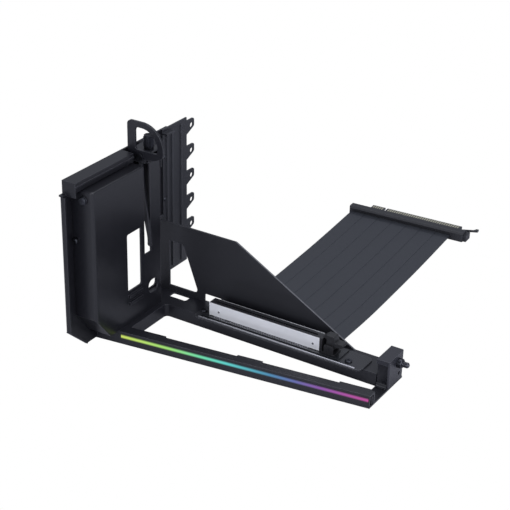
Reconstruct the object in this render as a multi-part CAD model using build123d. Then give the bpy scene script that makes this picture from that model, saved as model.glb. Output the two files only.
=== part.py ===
from build123d import *
import math
import os

# A bracket that holds a graphics card upright inside a computer case.
# A folded steel base carries a riser socket, a rear panel with a raised slot box closes
# the back of the case, and a flat riser cable runs back to an edge connector.
# X runs along the base away from the rear panel, Y runs to the back, Z is up.
# The origin is on the outside of the rear panel, level with the feet.

# Steel sheet
sheet = 1.2
bend = 2.5
over = 1.0  # how far a cut reaches past the faces that it opens

# Base frame
base_length = 210.3
base_back = 103.0
base_height = 10.0
rail_front_left = 27.5
rail_front_right = 54.8
rail_depth = 7.0
window_left = 24.5
end_plate_left = base_length - 9.4
window_back = 82.3
window_round = 3.0
beam_tab = 1.6
beam_tabs = ((24.5, 53.0), (109.4, 128.7), (base_length - 24.3, base_length - 1.3))

# Support wall at the back of the base
wall_height = 66.4
wall_top_end = 72.9
wall_foot_end = base_length - 37.3
wall_hole_left = 14.0
wall_hole_low = 14.3
wall_hole_high = 51.5
wall_hole_top_right = 26.5
wall_hole_low_right = 40.3
foot_hole_left = 45.8
foot_hole_right = 61.0
foot_hole_high = 16.2
wall_round = 3.0
floor_slot_left = 19.0
floor_slot_right = 34.0
floor_slot_front = 93.5
floor_slot_back = 100.3
slot_round = 1.5

# Rear panel
panel_height = 134.0
panel_left = -4.6
panel_right = 118.0
panel_shoulder = panel_height - 11.0
panel_chamfer_y = 16.5
panel_chamfer_z = 19.0
panel_flange = 5.0
panel_open_left = 24.0
panel_open_right = 101.5
panel_open_low = 11.0
panel_open_high = 69.0
panel_box_left = 12.0
panel_round = 3.0
panel_low_round = 9.0
panel_bar = 6.0
panel_box_high = panel_height - 18.0
top_flange_depth = 11.2
top_flange_left = -1.0
top_flange_right = 63.5
top_flange_lip = 6.8
hem_drop = 3.6
hem_height = 1.0
hem_depth = 0.6
ledge_height = panel_height - 10.8
ledge_depth = 3.2
corner_lip_short = 3.0

# Slot box on the rear panel, and the post beside it
box_face = 20.0
box_left = 6.0
box_right = 63.0
box_upper_round = 1.0
box_top = panel_height - 7.5
box_chamfer_y = 21.0
box_chamfer_z = 28.6
box_window_left = 42.6
box_window_right = 58.6
box_window_low = 36.0
box_window_high = 81.0
gap_low = 57.3
post_left = 70.5
post_right = 82.2
post_return = 3.0
post_foot = 14.0
post_open_high = 76.0
rib_count = 2
rib_pitch = 5.6
rib_first = 3.8
rib_proud = 1.8
rib_half = 1.1
rib_left = 42.6
rib_right = 58.0
port_left = 67.0
port_right = 78.4
port_low = 23.2
port_high = 33.8
port_round = 4.6

# Slot plate with the ears that the case screws hold
slot_pitch = 20.32
ear_count = 5
first_ear_height = panel_height - 8.0
ear_hole_y = 147.6
ear_hole_radius = 2.0
ear_tip = 151.0
ear_half_height = 5.0
plate_left = 110.7
wall_flange_width = 8.4
plate_right = 141.2
plate_low = 16.0
plate_beads = (115.6, 122.0, 133.6)
bead_height = 0.8
bead_width = 1.8
bead_margin = 3.0
plate_tab_reach = 4.0
plate_tab_length = 9.0
plate_tab_drop = 4.0
ear_slant = 1.5
ear_round = 2.0
plate_rivet_inset = 2.1
plate_rivet_drops = (22.0, 56.0, 86.0)

# Latch bracket, latch lever and the thumbscrew that clamps the card
latch_front = 68.2
latch_thick = 1.8
latch_pivot_x = 13.5
latch_pivot_z = panel_height - 4.0
latch_pin_radius = 1.5
latch_boss = 4.2
pin_clearance = 0.05
loop_left = 2.7
loop_right = 33.2
loop_low = panel_height - 0.5
loop_height = 22.5
loop_bar = 6.6
loop_band = 4.7
loop_rise = 4.2
loop_sill = 1.5
arm_width = 3.4
arm_tip_x = 20.3
arm_tip_z = 63.8
arm_bends = ((6.1, 0.272), (3.8, 0.574), (1.8, 0.785), (0.0, 0.932))
loop_corner = 3.0
bracket_left = 3.0
bracket_right = 19.0
bracket_front = 70.5
bracket_back = 86.0
bracket_top = panel_height - 0.8
bracket_tongue = 9.0
knob_x = 13.2
knob_y = 79.0
knob_radius = 3.9
knob_height = 9.8
knob_flutes = 10
knob_flute_radius = 0.45
knob_flute_out = 0.15
knob_collar = 1.5
knob_step = 0.45
knob_slot_width = 0.9
screw_radius = 1.75

# Riser tray and riser board
tray_length = 138.2
tray_right = base_length - 19.8
tray_left = tray_right - tray_length
tray_front = 77.4
tray_back = 97.5
tray_round = 4.0
tray_lip_radius = 1.25
board_left = tray_left + 4.7
board_right = tray_right - 19.0
board_front = 80.2
board_back = 96.8
board_thick = 1.0

# Socket
socket_length = 92.4
socket_right = tray_right - 35.9
socket_left = socket_right - socket_length
socket_front = 83.0
socket_width = 8.2
socket_height = 10.4
shield_thick = 0.35
card_slot_width = 2.0
card_slot_depth = 8.0
card_slot_end = 3.4
key_place = 12.6
key_width = 1.9
contact_pitch = 2.0
contact_count = 40
contact_half_width = 0.3
contact_half_thick = 0.25
cavity_half_width = 0.4
cavity_half_depth = 0.6
cavity_floor = 0.4
cavity_cover = 1.2
tail_length = 1.55
tail_half_width = 0.4
tail_thick = 0.35
shield_lift = 0.4
shield_dot_radius = 0.8
shield_dot_height = 4.6
shield_dot_insets = (8.6, 5.0)

# Socket latch
catch_left = socket_right + 4.0
catch_length = 8.6
catch_width = 6.4
catch_height = 14.0
catch_pivot_height = 4.2
catch_pin_radius = 1.0
catch_tab = 5.6
catch_boss = 2.8

# Riser cable
band_count = 7
band_width = 13.0
band_pitch = 13.1
band_thick = 1.0
cable_turn = 2.8
cable_middle = socket_left + 47.6
cable_start = 96.4
cable_run = 222.3
band_seat = 0.03
header_front = 86.6
header_low = 2.6
header_exit = 4.2
opening_room_left = 2.6
opening_room_right = 3.6
opening_room_front = 0.8
opening_room_back = 0.2
header_room = 0.6

# Edge connector on the end of the cable
plug_left = -48.0
plug_right = 56.5
plug_length = 9.5
plug_height = 8.0
plug_board_thick = 1.6
plug_board_height = 3.2
finger_left = -33.7
finger_right = 48.8
finger_reach = 19.0
finger_key = 11.65
finger_key_width = 1.9
finger_length = 4.2
finger_pitch = 2.0
hook_reach = 63.0

# Light strip in the front rail
light_start = 21.0
light_end_margin = 1.0
light_low = 4.9
light_high = 7.8
diffuser_depth = 2.4
diffuser_proud = 0.3
carrier_front = 4.4
carrier_wall = 1.0
carrier_low = 1.2
carrier_start = 4.0
lamp_margin = 4.0
lamp_sunk = 0.2
led_board_thick = 1.0
led_count = 18
led_size = 2.4
led_thick = 1.0

# Bracket at the right end, with a captive screw
end_depth = 9.7
end_left = base_length - end_depth
end_front = 81.5
end_top = 22.3
end_foot = 6.0
end_lip_low = 18.8
end_screw_y = 95.5
end_screw_z = 15.6
end_screw_radius = 2.1
end_thread_radius = 1.9
end_screw_step = 0.3
end_screw_point = 0.7
ferrule_radius = 3.5
ferrule_length = 3.5
end_screw_reach = 8.0
drain_radius = 1.5

# Fasteners
small_head_radius = 3.0
tray_head_radius = 2.6
small_head_height = 1.4
small_shank_radius = 1.45
washer_height = 0.6
side_head_height = 1.6
side_shank_reach = 3.0
stud_height = 2.6
stud_radius = 2.0
cross_length = 2.2
cross_width = 0.6
plate_rivet_head = 1.7
plate_rivet_height = 0.8
rivet_head_radius = 2.2
rivet_head_height = 0.8
rivet_shank_radius = 1.4
fit_gap = 0.1

os.makedirs("parts", exist_ok=True)


def write(name, shape):
    export_step(shape, f"parts/{name}.step")


def block(x0, x1, y0, y1, z0, z1):
    """A box between two corners."""
    middle = ((x0 + x1) / 2, (y0 + y1) / 2, (z0 + z1) / 2)
    return Pos(*middle) * Box(x1 - x0, y1 - y0, z1 - z0)


def outline(points, rounds=None):
    """A flat closed outline; rounds gives a radius for the corners with those numbers."""
    shape = make_face(Polyline(*points, close=True))
    for corner, radius in (rounds or {}).items():
        nearest = shape.vertices().sort_by_distance(Vector(*points[corner]))[0]
        shape = fillet(nearest, radius)
    return shape


def rectangle(a0, a1, b0, b1, radius=0.0):
    """A flat rectangle between two corners, its corners rounded where a radius is given."""
    middle = Pos((a0 + a1) / 2, (b0 + b1) / 2)
    if radius:
        return middle * RectangleRounded(a1 - a0, b1 - b0, radius)
    return middle * Rectangle(a1 - a0, b1 - b0)


def wall_x(shape, x, thick):
    """A flat outline in Y and Z, given a thickness from x."""
    return extrude(Plane.YZ.offset(x) * shape, thick)


def wall_y(shape, y, thick):
    """A flat outline in X and Z, given a thickness from y."""
    return extrude(Plane.XZ.offset(-y) * shape, -thick)


def wall_z(shape, z, thick):
    """A flat outline in X and Y, given a thickness from z."""
    return extrude(Plane.XY.offset(z) * shape, thick)


def rod_x(x0, x1, y, z, radius):
    return Pos((x0 + x1) / 2, y, z) * Rot(0, 90, 0) * Cylinder(radius, x1 - x0)


def rod_y(y0, y1, x, z, radius):
    return Pos(x, (y0 + y1) / 2, z) * Rot(90, 0, 0) * Cylinder(radius, y1 - y0)


def rod_z(z0, z1, x, y, radius):
    return Pos(x, y, (z0 + z1) / 2) * Cylinder(radius, z1 - z0)


# The front rail runs at an angle, so it has a frame of its own: u along it, v inwards.
rail_slope = (rail_front_right - rail_front_left) / base_length
rail_turn = math.degrees(math.atan(rail_slope))
rail_length = (base_length - sheet) / math.cos(math.radians(rail_turn))
rail_width = rail_depth * math.cos(math.radians(rail_turn))


def rail_front(x):
    return rail_front_left + rail_slope * x


def rail_back(x):
    return rail_front(x) + rail_depth


rail_frame = Pos(sheet, rail_front(sheet), 0) * Rot(0, 0, rail_turn)


def on_rail(u0, u1, v0, v1, z0, z1):
    return rail_frame * block(u0, u1, v0, v1, z0, z1)


# The cable lies at a slight angle too: w across it, s along it.
cable_frame = Pos(cable_middle, cable_start, 0) * Rot(0, 0, cable_turn)


def on_cable(w0, w1, s0, s1, z0, z1):
    return cable_frame * block(w0, w1, s0, s1, z0, z1)


floor_low = base_height - sheet
panel_face = sheet
plate_face = 2 * sheet
board_low = base_height + sheet
board_top = board_low + board_thick
opening_left = socket_left - opening_room_left
opening_right = socket_right + opening_room_right
opening_front = header_front - opening_room_front
opening_back = board_back - opening_room_back


# Base frame: floor, window, flanges, front rail and low end plate
def base_frame():
    web = end_left - fit_gap
    floor = wall_z(
        outline(
            [
                (panel_face, rail_front(panel_face)),
                (base_length, rail_front(base_length)),
                (base_length, rail_back(base_length)),
                (window_left, rail_back(window_left)),
                (window_left, window_back),
                (web, window_back),
                (web, base_back),
                (panel_face, base_back),
            ],
            {3: window_round, 4: window_round},
        ),
        floor_low,
        sheet,
    )
    slot = rectangle(floor_slot_left, floor_slot_right, floor_slot_front, floor_slot_back, slot_round)
    under_board = rectangle(opening_left, opening_right, opening_front, opening_back)
    floor -= wall_z(slot + under_board, floor_low, sheet)
    # The window's rim turns down to the feet. The window is open at the right.
    beyond = base_length + window_back
    window = outline(
        [
            (window_left, rail_back(window_left)),
            (beyond, rail_back(beyond)),
            (beyond, beyond),
            (web - sheet, beyond),
            (web - sheet, window_back),
            (window_left, window_back),
        ],
        {0: window_round, 5: window_round},
    )
    rim = offset(window, sheet, kind=Kind.ARC) - window
    rim &= rectangle(panel_face, base_length, rail_front_left, base_back)
    back_rim = rectangle(window_left, web, window_back, window_back + sheet)
    side_rim = rectangle(web - sheet, web, window_back, base_back)
    rim = rim - rectangle(web - 2 * sheet, base_length, window_back - sheet, base_back)
    frame = floor + wall_z(rim, 0, floor_low)
    frame += wall_z(back_rim - rectangle(0, window_left + window_round, 0, base_back), 0, floor_low)
    frame += wall_z(side_rim, 0, floor_low)
    # A low plate joins the rail to the back and carries the bracket at the right end.
    frame += wall_z(
        outline(
            [
                (end_plate_left, rail_front(end_plate_left)),
                (base_length, rail_front(base_length)),
                (base_length, base_back),
                (web - sheet, base_back),
                (web - sheet, window_back),
                (end_plate_left, window_back),
            ]
        ),
        0,
        sheet,
    )
    # Outer flanges: the front rail's face, the free part of the back and the left end.
    frame += on_rail(0, rail_length, 0, sheet, 0, base_height)
    frame += block(wall_foot_end + bend, web, base_back - sheet, base_back, 0, floor_low)
    frame += block(panel_face, 2 * sheet, rail_front(panel_face), base_back, 0, floor_low)
    # The lens of the light strip shows through a long slot in the rail's face.
    frame -= on_rail(light_start, light_end, 0, sheet, light_low, light_high)
    frame -= block(-1, panel_face, 0, base_back + 1, -1, wall_height + 1)
    # Small tabs widen the rail where the light strip's carrier is clipped.
    for left, right in beam_tabs:
        frame += on_rail(left, right, rail_width - 1, rail_width + beam_tab, floor_low, base_height)
    for x, y in tray_screw_places:
        frame -= rod_z(floor_low - 1, base_height + 1, x, y, small_shank_radius)
    for y in end_rivet_ys:
        frame -= rod_z(-1, 2 * sheet, end_rivet_x, y, rivet_shank_radius)
    return frame


def support_wall():
    """The wall that stands on the back edge of the floor, with its diagonal end."""
    face = outline(
        [
            (panel_face, base_height),
            (wall_foot_end, base_height),
            (wall_top_end, wall_height),
            (panel_face, wall_height),
        ],
        {2: wall_round},
    )
    face -= outline(
        [
            (wall_hole_left, wall_hole_low),
            (wall_hole_low_right, wall_hole_low),
            (wall_hole_top_right, wall_hole_high),
            (wall_hole_left, wall_hole_high),
        ],
        {1: wall_round, 2: wall_round},
    )
    # The notch at the foot is open below, where the floor closes it.
    face -= rectangle(foot_hole_left, foot_hole_right, base_height - foot_hole_high, foot_hole_high, slot_round)
    wall = wall_y(face, base_back - sheet, sheet)
    # A flange lies against the rear panel, behind the wall.
    flange = rectangle(
        base_back - sheet, base_back + wall_flange_width - sheet, base_height + wall_round, wall_height
    )
    return wall + wall_x(flange, panel_face, sheet)


light_end = rail_length - light_end_margin


# Rear panel: flat sheet with a left flange, a top flange, a ledge and a large opening
def rear_panel():
    inside = panel_left + bend
    cut = panel_chamfer_z * (panel_chamfer_y - inside) / (panel_chamfer_y - panel_left)
    face = outline(
        [
            (panel_chamfer_y, 0),
            (panel_right, 0),
            (panel_right, panel_height),
            (top_flange_left, panel_height),
            (top_flange_left, panel_shoulder),
            (inside, panel_shoulder),
            (inside, cut),
        ]
    )
    face -= outline(
        [
            (panel_open_left, panel_open_low),
            (panel_open_right, panel_open_low),
            (panel_open_right, panel_open_high),
            (panel_open_left, panel_open_high),
        ],
        {0: panel_low_round, 1: panel_round, 2: panel_round, 3: panel_round},
    )
    face -= rectangle(
        panel_box_left, box_right, panel_open_high + panel_bar, panel_box_high, panel_round
    )
    panel = wall_x(face, 0, sheet)
    flange = outline(
        [
            (0, panel_left),
            (panel_flange, panel_left),
            (panel_flange, panel_left + sheet),
            (sheet, panel_left + sheet),
            (sheet, inside + 1),
            (0, inside + 1),
        ],
        {0: bend},
    )
    panel += wall_z(flange, panel_chamfer_z, panel_shoulder - panel_chamfer_z)
    panel += block(
        0, top_flange_depth, top_flange_left, top_flange_right, panel_height - sheet, panel_height
    )
    panel += block(
        0, top_flange_depth, top_flange_left, top_flange_left + sheet, ledge_height, panel_height
    )
    # The flange turns down in front and ends in a hem.
    lip_low = panel_height - top_flange_lip
    panel += block(
        top_flange_depth - sheet, top_flange_depth, top_flange_left, top_flange_right, lip_low, panel_height
    )
    panel += block(
        top_flange_depth, top_flange_depth + hem_depth, top_flange_left, top_flange_right,
        panel_height - hem_drop, panel_height - hem_drop + hem_height,
    )
    panel += block(0, ledge_depth, panel_left, box_left, ledge_height, ledge_height + sheet)
    # A narrow lip follows the cut corner below the box.
    dy = panel_chamfer_y - panel_left
    length = math.hypot(dy, panel_chamfer_z)
    lip = Box(ledge_depth, length - corner_lip_short, sheet)
    middle = Pos(ledge_depth / 2, (panel_chamfer_y + panel_left) / 2, panel_chamfer_z / 2)
    panel += middle * Rot(-math.degrees(math.atan2(panel_chamfer_z, dy)), 0, 0) * Pos(0, 0, sheet / 2) * lip
    return panel


# Slot box: a folded cover on the panel, its face slit beside the post for the latch arm
def slot_box():
    back = panel_face
    profile = outline(
        [
            (box_chamfer_y, base_height),
            (post_right, base_height),
            (post_right, box_top),
            (box_left, box_top),
            (box_left, box_chamfer_z),
        ]
    )
    inner = outline(
        [
            (box_chamfer_y + sheet / 2, base_height),
            (post_right - sheet, base_height),
            (post_right - sheet, box_top - sheet),
            (box_left + sheet, box_top - sheet),
            (box_left + sheet, box_chamfer_z + sheet / 3),
        ]
    )
    solid = wall_x(profile, back, box_face - back)
    front = solid.faces().sort_by(Axis.X)[-1]
    corner = front.edges().filter_by(Axis.Z).sort_by(Axis.Y)[0]
    solid = fillet(corner, bend)
    upper = solid.faces().sort_by(Axis.X)[-1].edges().filter_by(Axis.Y).sort_by(Axis.Z)[-1]
    solid = fillet(upper, box_upper_round)
    solid -= wall_x(inner, back, box_face - back - sheet)
    face_cut = rectangle(box_window_left, box_window_right, box_window_low, box_window_high, slot_round)
    solid -= wall_x(face_cut, box_face - 2 * sheet, 3 * sheet)
    port = rectangle(port_left, port_right, port_low, port_high, port_round)
    solid -= wall_x(port, box_face - 2 * sheet, 3 * sheet)
    # Low down the post's side wall is only a narrow return.
    solid -= block(
        back, box_face - post_return, post_right - 2 * sheet, post_right + 1, post_foot, post_open_high
    )
    # The slit for the latch arm is open at the top and runs back to the panel.
    solid -= block(back, box_face + 1, box_right, post_left, gap_low, box_top + 1)
    # Two pressed ribs cross the face under the window.
    for n in range(rib_count):
        z = box_window_low - rib_first - n * rib_pitch
        solid += block(box_face, box_face + rib_proud, rib_left, rib_right, z - rib_half, z + rib_half)
    # The side wall has holes for the screw and the stud.
    solid -= rod_y(box_left - 1, box_left + sheet + 1, side_screw_x, side_screw_z, small_shank_radius)
    solid -= rod_y(box_left - 1, box_left + sheet + 1, stud_x, stud_z, small_shank_radius)
    solid -= rod_z(box_top - sheet - 1, box_top + 1, knob_x, knob_y, screw_radius + fit_gap)
    return solid


side_screw_x = 12.0
side_screw_z = box_top - 7.0
stud_x = 5.0
stud_z = box_top - 38.5


# Slot plate: joins the rear panel to the ears, stiffened by three pressed beads
def slot_plate():
    face = rectangle(plate_left, plate_right, plate_low, panel_height)
    for n in range(ear_count):
        face += ear(first_ear_height - n * slot_pitch)
    plate = wall_x(face, panel_face, sheet)
    for y in plate_beads:
        plate += block(
            plate_face, plate_face + bead_height, y - bead_width / 2, y + bead_width / 2,
            plate_low + bead_margin, panel_height - bead_margin,
        )
    tab_low = panel_height - plate_tab_drop
    tab = block(
        plate_face, plate_face + plate_tab_reach, plate_left, plate_left + plate_tab_length,
        tab_low, tab_low + sheet,
    )
    return plate + tab


def ear(z):
    """One ear: flat on top, round at the tip and slanted below, with its screw hole."""
    shape = outline(
        [
            (plate_right, z + ear_half_height),
            (plate_right, z - ear_half_height - over),
            (ear_tip, z - ear_slant),
            (ear_tip, z + ear_half_height),
        ],
        {2: ear_round, 3: ear_round},
    )
    return shape - Pos(ear_hole_y, z) * Circle(ear_hole_radius)


plate_rivet_places = [(plate_left + plate_rivet_inset, panel_height - drop) for drop in plate_rivet_drops]


def plate_rivets():
    """Small rivet heads, pressed flat behind, that join the plate to the panel."""
    made = []
    for y, z in plate_rivet_places:
        head = rod_x(plate_face, plate_face + plate_rivet_height, y, z, plate_rivet_head)
        made.append(chamfer(head.faces().sort_by(Axis.X)[-1].edges(), plate_rivet_height * 0.6))
    return made


# The small fasteners on the box's side
def side_screw():
    under = box_left - washer_height
    washer = rod_y(under, box_left, side_screw_x, side_screw_z, small_head_radius + washer_height)
    head = rod_y(under - side_head_height, under, side_screw_x, side_screw_z, small_head_radius)
    head = chamfer(head.faces().sort_by(Axis.Y)[0].edges(), washer_height)
    tip = box_left + sheet + side_shank_reach
    shank = rod_y(box_left, tip, side_screw_x, side_screw_z, small_shank_radius - pin_clearance)
    return washer + head + shank


def side_stud():
    head = rod_y(box_left - stud_height, box_left, stud_x, stud_z, stud_radius)
    head = chamfer(head.faces().sort_by(Axis.Y)[0].edges(), washer_height)
    tip = box_left + sheet + stud_radius
    return head + rod_y(box_left, tip, stud_x, stud_z, small_shank_radius - pin_clearance)


# Latch bracket: a folded saddle on the post that carries the lever's pin and the thumbscrew
def latch_bracket():
    top = block(bracket_left, bracket_right, bracket_front, bracket_back, bracket_top - sheet, bracket_top)
    front = block(bracket_left, bracket_right, bracket_front, bracket_front + sheet, box_top, bracket_top)
    tongue = box_top - bracket_tongue
    back = block(bracket_left, bracket_right, bracket_back - sheet, bracket_back, tongue, bracket_top)
    foot = block(bracket_left, bracket_right, bracket_front, post_right, box_top, box_top + sheet)
    bracket = top + front + back + foot
    bracket -= rod_y(bracket_front - 1, bracket_front + 2 * sheet, latch_pivot_x, latch_pivot_z, latch_pin_radius)
    bracket -= rod_z(box_top - 1, bracket_top + 1, knob_x, knob_y, screw_radius + fit_gap)
    return bracket


def latch_pin():
    front = latch_front
    pin = rod_y(front - 1.0, bracket_front + sheet + 0.8, latch_pivot_x, latch_pivot_z, latch_pin_radius)
    head = rod_y(front - 1.3, front - 0.3, latch_pivot_x, latch_pivot_z, latch_pin_radius + 1.2)
    return pin + head


# Latch lever: a finger loop above the pivot and a long bowed arm below it
def latch_lever():
    hip = latch_pivot_z - latch_boss
    loop_top = loop_low + loop_height
    room = loop_height - loop_rise - loop_sill
    outer = outline(
        [
            (loop_left, hip + 1),
            (loop_left, loop_top),
            (loop_right, loop_top),
            (loop_right, loop_low),
            (loop_right - loop_bar, hip + 4),
            (latch_pivot_x + latch_boss, hip + 2.5),
            (latch_pivot_x + latch_boss, hip),
            (loop_left + loop_band, hip),
        ],
        {1: 0.2 * room, 2: 0.8 * loop_height, 3: loop_corner, 4: loop_corner},
    )
    inner = outline(
        [
            (loop_left + loop_bar, loop_low + loop_sill),
            (loop_left + loop_bar, loop_top - loop_rise),
            (loop_right - loop_band, loop_top - loop_rise),
            (loop_right - loop_band, loop_low + loop_sill),
        ],
        {0: 0.12 * room, 1: 0.18 * room, 2: 0.8 * room, 3: 0.12 * room},
    )
    drop = latch_pivot_z - arm_tip_z
    bends = [(arm_tip_x - back, latch_pivot_z - share * drop) for back, share in arm_bends]
    middle = Spline((latch_pivot_x, latch_pivot_z), *bends, (arm_tip_x, arm_tip_z))
    arm = trace(middle, arm_width) + Pos(arm_tip_x, arm_tip_z) * Circle(arm_width / 2)
    boss = Pos(latch_pivot_x, latch_pivot_z) * Circle(latch_boss)
    bore = Pos(latch_pivot_x, latch_pivot_z) * Circle(latch_pin_radius + pin_clearance)
    return wall_y(outer - inner + arm + boss - bore, latch_front, latch_thick)


# Thumbscrew: a fluted head with a flat skirt and a screw through the bracket
def top_thumbscrew():
    low = bracket_top + fit_gap
    flutes = Circle(knob_radius)
    for n in range(knob_flutes):
        turn = Rot(0, 0, n * 360 / knob_flutes)
        flutes -= turn * Pos(knob_radius + knob_flute_out, 0) * Circle(knob_flute_radius)
    place = Pos(knob_x, knob_y, low)
    collar = Cylinder(knob_radius - knob_step, knob_collar)
    head = place * Pos(0, 0, knob_collar) * extrude(flutes, knob_height - 2 * knob_collar)
    head += place * Pos(0, 0, knob_collar / 2) * collar
    head += place * Pos(0, 0, knob_height - knob_collar / 2) * collar
    slot = place * Pos(0, 0, knob_height) * Box(2 * knob_radius + over, knob_slot_width, knob_collar)
    shank = rod_z(box_top - bracket_tongue, low, knob_x, knob_y, screw_radius)
    return head - slot + shank


# Riser tray, with a rolled front lip, and its two screws
def riser_tray():
    tray = wall_z(
        outline(
            [
                (tray_left, tray_front),
                (tray_right, tray_front),
                (tray_right, tray_back),
                (tray_left, tray_back),
            ],
            {0: tray_round, 1: tray_round, 2: tray_round, 3: tray_round},
        ),
        base_height,
        sheet,
    )
    tray -= wall_z(
        rectangle(opening_left, opening_right, opening_front, opening_back), base_height, sheet
    )
    lip_z = base_height + tray_lip_radius + pin_clearance
    lip = rod_x(
        tray_left + tray_round, tray_right - tray_round, tray_front, lip_z, tray_lip_radius
    )
    lip = chamfer(lip.edges().filter_by(GeomType.CIRCLE), tray_lip_radius * 0.5)
    for x, y in tray_screw_places:
        tray -= rod_z(0, 2 * base_height, x, y, small_shank_radius)
    return tray + lip


tray_screw_places = ((tray_left + 2.7, 87.0), (tray_right - 12.7, 83.9))


def tray_screws():
    made = []
    for x, y in tray_screw_places:
        low = base_height + sheet
        head = rod_z(low, low + small_head_height, x, y, tray_head_radius)
        head = chamfer(head.faces().sort_by(Axis.Z)[-1].edges(), small_head_height * 0.4)
        bar = Box(cross_length, cross_width, small_head_height)
        cross = Pos(x, y, low + small_head_height) * (bar + Rot(0, 0, 90) * bar)
        shank = rod_z(floor_low, low, x, y, small_shank_radius - pin_clearance)
        made.append(head - cross + shank)
    return made


def riser_board():
    board = block(board_left, board_right, board_front, board_back, board_low, board_top)
    x, y = tray_screw_places[0]
    reach = small_head_radius + over
    board -= block(board_left - over, x + reach, y - reach, y + reach, board_low, board_top)
    return board


# Socket: a plastic housing in a bright steel shield, with two rows of contacts
socket_back = socket_front + socket_width
socket_top = board_top + socket_height
slot_middle = (socket_front + socket_back) / 2
slot_low = socket_top - card_slot_depth
slot_start = socket_left + card_slot_end
slot_stop = socket_right - card_slot_end


def socket_housing():
    body = block(
        socket_left + shield_thick, socket_right + 2.2,
        socket_front + shield_thick, socket_back - shield_thick,
        board_top, socket_top,
    )
    half = card_slot_width / 2
    slot = block(slot_start, slot_stop, slot_middle - half, slot_middle + half, slot_low, socket_top)
    key = block(
        slot_start + key_place, slot_start + key_place + key_width,
        slot_middle - half, slot_middle + half, slot_low, socket_top - 1.0,
    )
    body = body - slot + key
    # Contact cavities open into both sides of the slot.
    for x in contact_places():
        for side in (-1, 1):
            y = slot_middle + side * (half + cavity_half_depth)
            body -= block(
                x - cavity_half_width, x + cavity_half_width, y - cavity_half_depth, y + cavity_half_depth,
                slot_low + cavity_floor, socket_top - cavity_cover,
            )
    return body


def contact_places():
    first = slot_start + 2.2
    places = [first + n * contact_pitch for n in range(contact_count)]
    low = slot_start + key_place - 0.8
    high = slot_start + key_place + key_width + 0.8
    return [x for x in places if x + 0.5 < low or x - 0.5 > high]


def socket_contacts():
    """Spring fingers in their cavities, a little proud of the slot's sides."""
    made = []
    for x in contact_places():
        for side in (-1, 1):
            y = slot_middle + side * (card_slot_width / 2 + cavity_half_depth - pin_clearance)
            made.append(
                block(
                    x - contact_half_width, x + contact_half_width, y - contact_half_thick, y + contact_half_thick,
                    slot_low + cavity_floor + pin_clearance, socket_top - cavity_cover - cavity_floor,
                )
            )
    return made


def solder_tails():
    """Flat tails that come out in front of the socket onto the board."""
    made = []
    for x in contact_places():
        back = socket_front - pin_clearance
        made.append(
            block(x - tail_half_width, x + tail_half_width, back - tail_length, back, board_top, board_top + tail_thick)
        )
    return made


def socket_shield():
    """A steel band round the housing, its ends folded over, with two raised rivet dots."""
    outer = rectangle(socket_left, socket_right, socket_front, socket_back, 0.6)
    inner = rectangle(
        socket_left + shield_thick, socket_right - shield_thick,
        socket_front + shield_thick, socket_back - shield_thick,
    )
    shield = wall_z(outer - inner, board_top + shield_lift, socket_height - shield_lift)
    shield -= block(
        socket_right - 2 * shield_thick, socket_right + 1, socket_front + shield_thick,
        socket_back - shield_thick, board_top, socket_top + 1,
    )
    left, right = shield_dot_insets
    for x in (socket_left + left, socket_right - right):
        dot_front = socket_front - contact_half_thick
        shield += rod_y(dot_front, socket_front + fit_gap, x, board_top + shield_dot_height, shield_dot_radius)
    return shield


# Socket latch: a small hooked lever on a pin at the end of the socket
catch_pin_x = catch_left + 4.0
catch_pin_z = board_top + catch_pivot_height
catch_front = slot_middle - catch_width / 2


def catch_base():
    """The two cheeks that carry the latch's pin, moulded with their own foot."""
    foot = block(
        socket_right + 2.4, catch_left + catch_length, catch_front - 1.6, catch_front + catch_width + 1.6,
        board_top, board_top + 1.0,
    )
    cheek = rectangle(catch_left, catch_left + 7.4, board_top, catch_pin_z + 3.0, 1.4)
    sides = wall_y(cheek, catch_front - 1.6, 1.2) + wall_y(cheek, catch_front + catch_width + 0.4, 1.2)
    bore = rod_y(catch_front - 2, catch_front + catch_width + 2, catch_pin_x, catch_pin_z, catch_pin_radius)
    return foot + sides - bore


def catch_pin():
    return rod_y(catch_front - 1.55, catch_front + catch_width + 1.55, catch_pin_x, catch_pin_z, catch_pin_radius)


def socket_catch():
    x = catch_left
    z = board_top
    shape = outline(
        [
            (catch_pin_x - catch_boss, catch_pin_z),
            (catch_pin_x + catch_boss, catch_pin_z),
            (x + catch_length - 0.4, z + 6.0),
            (x + catch_length + catch_tab, z + 7.4),
            (x + catch_length + catch_tab, z + 9.6),
            (x + catch_length - 0.6, z + 9.8),
            (x + catch_length - 1.6, z + catch_height),
            (x + 1.2, z + catch_height),
            (x - 1.6, z + catch_height - 1.6),
            (x + 1.2, z + catch_height - 3.0),
        ],
        {3: 1.0, 4: 1.0, 6: 1.2, 7: 0.8},
    )
    shape += Pos(catch_pin_x, catch_pin_z) * Circle(catch_boss)
    shape -= Pos(catch_pin_x, catch_pin_z) * Circle(catch_pin_radius + pin_clearance)
    return wall_y(shape, catch_front, catch_width)


# Cable header under the board: the bands leave its back face
def ribbon_header():
    return block(
        opening_left + header_room, opening_right - header_room, header_front, cable_start - 0.4,
        header_low, board_low,
    )


def band_middle(n):
    return (n - (band_count - 1) / 2) * band_pitch


def band_begin(n):
    """How far along the cable's own line a band starts, so that it just meets the header."""
    return 0.35 - band_middle(n) * math.tan(math.radians(cable_turn))


def band_route(n):
    start = band_begin(n)
    return [
        (start, header_exit),
        (start + 26, header_exit - 0.9),
        (62, 0.95),
        (110, 0.8),
        (168, 1.25),
        (cable_run - band_seat, plug_exit),
    ]


plug_exit = 3.6


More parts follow.
